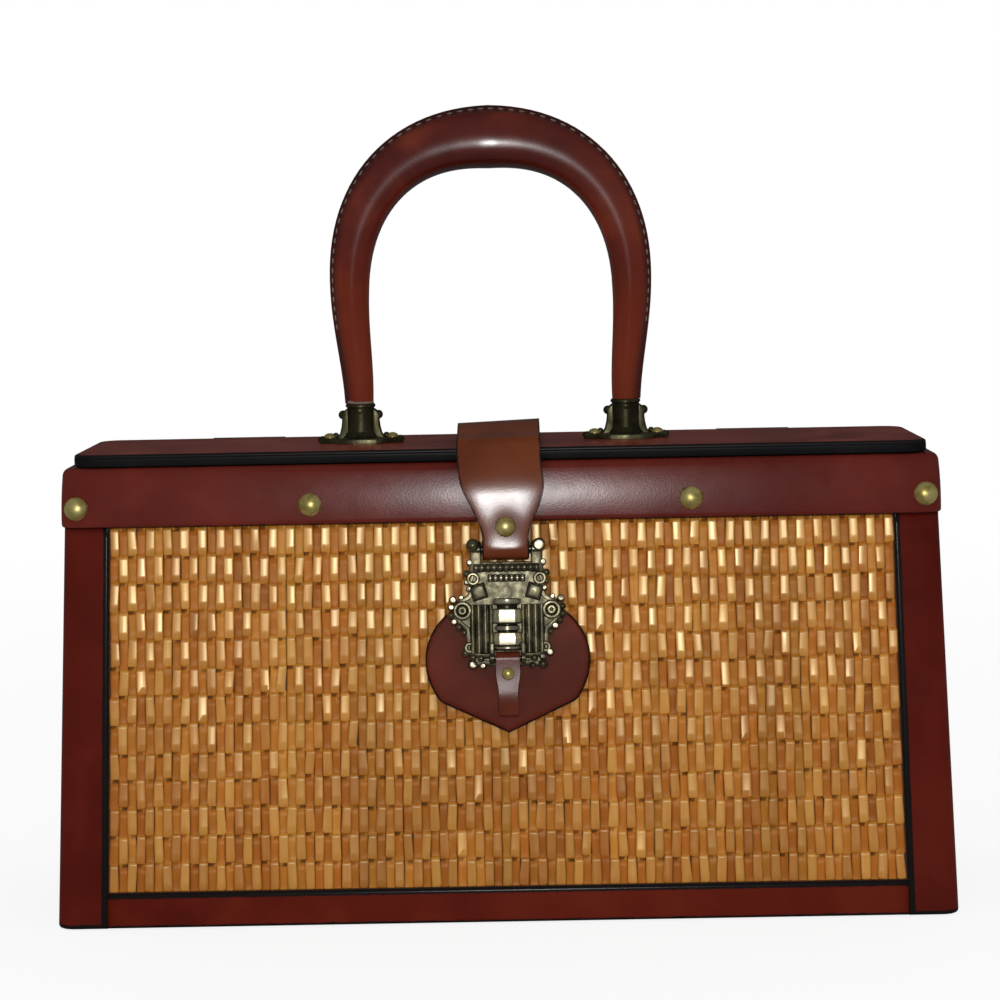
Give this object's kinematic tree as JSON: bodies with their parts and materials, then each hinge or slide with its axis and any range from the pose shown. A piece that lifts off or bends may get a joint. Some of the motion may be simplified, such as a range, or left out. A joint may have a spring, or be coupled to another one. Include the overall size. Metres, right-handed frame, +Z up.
{
  "type": "rattan satchel",
  "caption": "Box-shaped satchel of plaited rattan splints with red-brown leather trim, flat hinged lid, closing strap with a cast clasp and a horseshoe handle.",
  "frame": {"origin": "middle of the underside of the base", "axes": "+Z up, +X along the long side, -Y toward the front with the clasp"},
  "size_m": [0.35, 0.1258, 0.3164],
  "materials": {
    "leather": "glossy red-brown cowhide with black-dyed edges",
    "strap_leather": "glossy orange-brown bridle leather",
    "dyed_edge": "black-dyed leather edge",
    "rattan": "varnished honey-coloured splints",
    "brass": "polished, slightly tarnished",
    "old_brass": "antique cast brass, dark in the hollows",
    "board": "plain thin board",
    "lining": "plain woven cloth"
  },
  "bodies": {
    "case": {"base_cover": "leather", "base_board": "board", "front_board": "board", "back_board": "board", "left_end_board": "board", "right_end_board": "board", "case_lining": "lining", "front_weave": "rattan", "back_weave": "rattan", "left_end_leather": "leather", "right_end_leather": "leather", "front_left_corner_strip": "leather", "front_right_corner_strip": "leather", "back_left_corner_strip": "leather", "back_right_corner_strip": "leather", "front_bottom_strip": "leather", "back_bottom_strip": "leather", "rim_band": "leather", "rim_nails": "brass", "clasp_patch": "leather", "lock_plate": "old_brass", "lock_rivets": "brass", "left_hinge_case_leaf": "brass", "right_hinge_case_leaf": "brass", "left_hinge_pin": "brass", "right_hinge_pin": "brass", "hinge_case_nails": "brass"},
    "lid": {"lid_board": "board", "lid_cover": "leather", "lid_edge_binding": "dyed_edge", "lid_lining": "lining", "left_hinge_lid_leaf": "brass", "right_hinge_lid_leaf": "brass", "hinge_lid_nails": "brass", "strap": "strap_leather", "strap_rivet": "brass", "strap_rear_rivets": "brass", "handle": "strap_leather", "left_handle_mount": "old_brass", "right_handle_mount": "old_brass", "handle_rivets": "brass", "mount_nails": "brass"},
    "hasp": {"hasp": "old_brass"},
    "pull_tab": {"pull_tab": "strap_leather", "pull_tab_rivet": "brass"}
  },
  "joints": [
    {"name": "lid_hinge", "type": "hinge", "parent": "case", "child": "lid", "pos_m": [0, 0.04351, 0.17765], "axis": [-1, 0, 0], "range_deg": [0, 105]},
    {"name": "hasp_swing", "type": "hinge", "parent": "lid", "child": "hasp", "pos_m": [0.0018, -0.04818, 0.14397], "axis": [-1, 0, 0], "range_deg": [0, 95]},
    {"name": "pull_tab_swing", "type": "hinge", "parent": "hasp", "child": "pull_tab", "pos_m": [0.0018, -0.05675, 0.10273], "axis": [-1, 0, 0], "range_deg": [0, 80]}
  ]
}
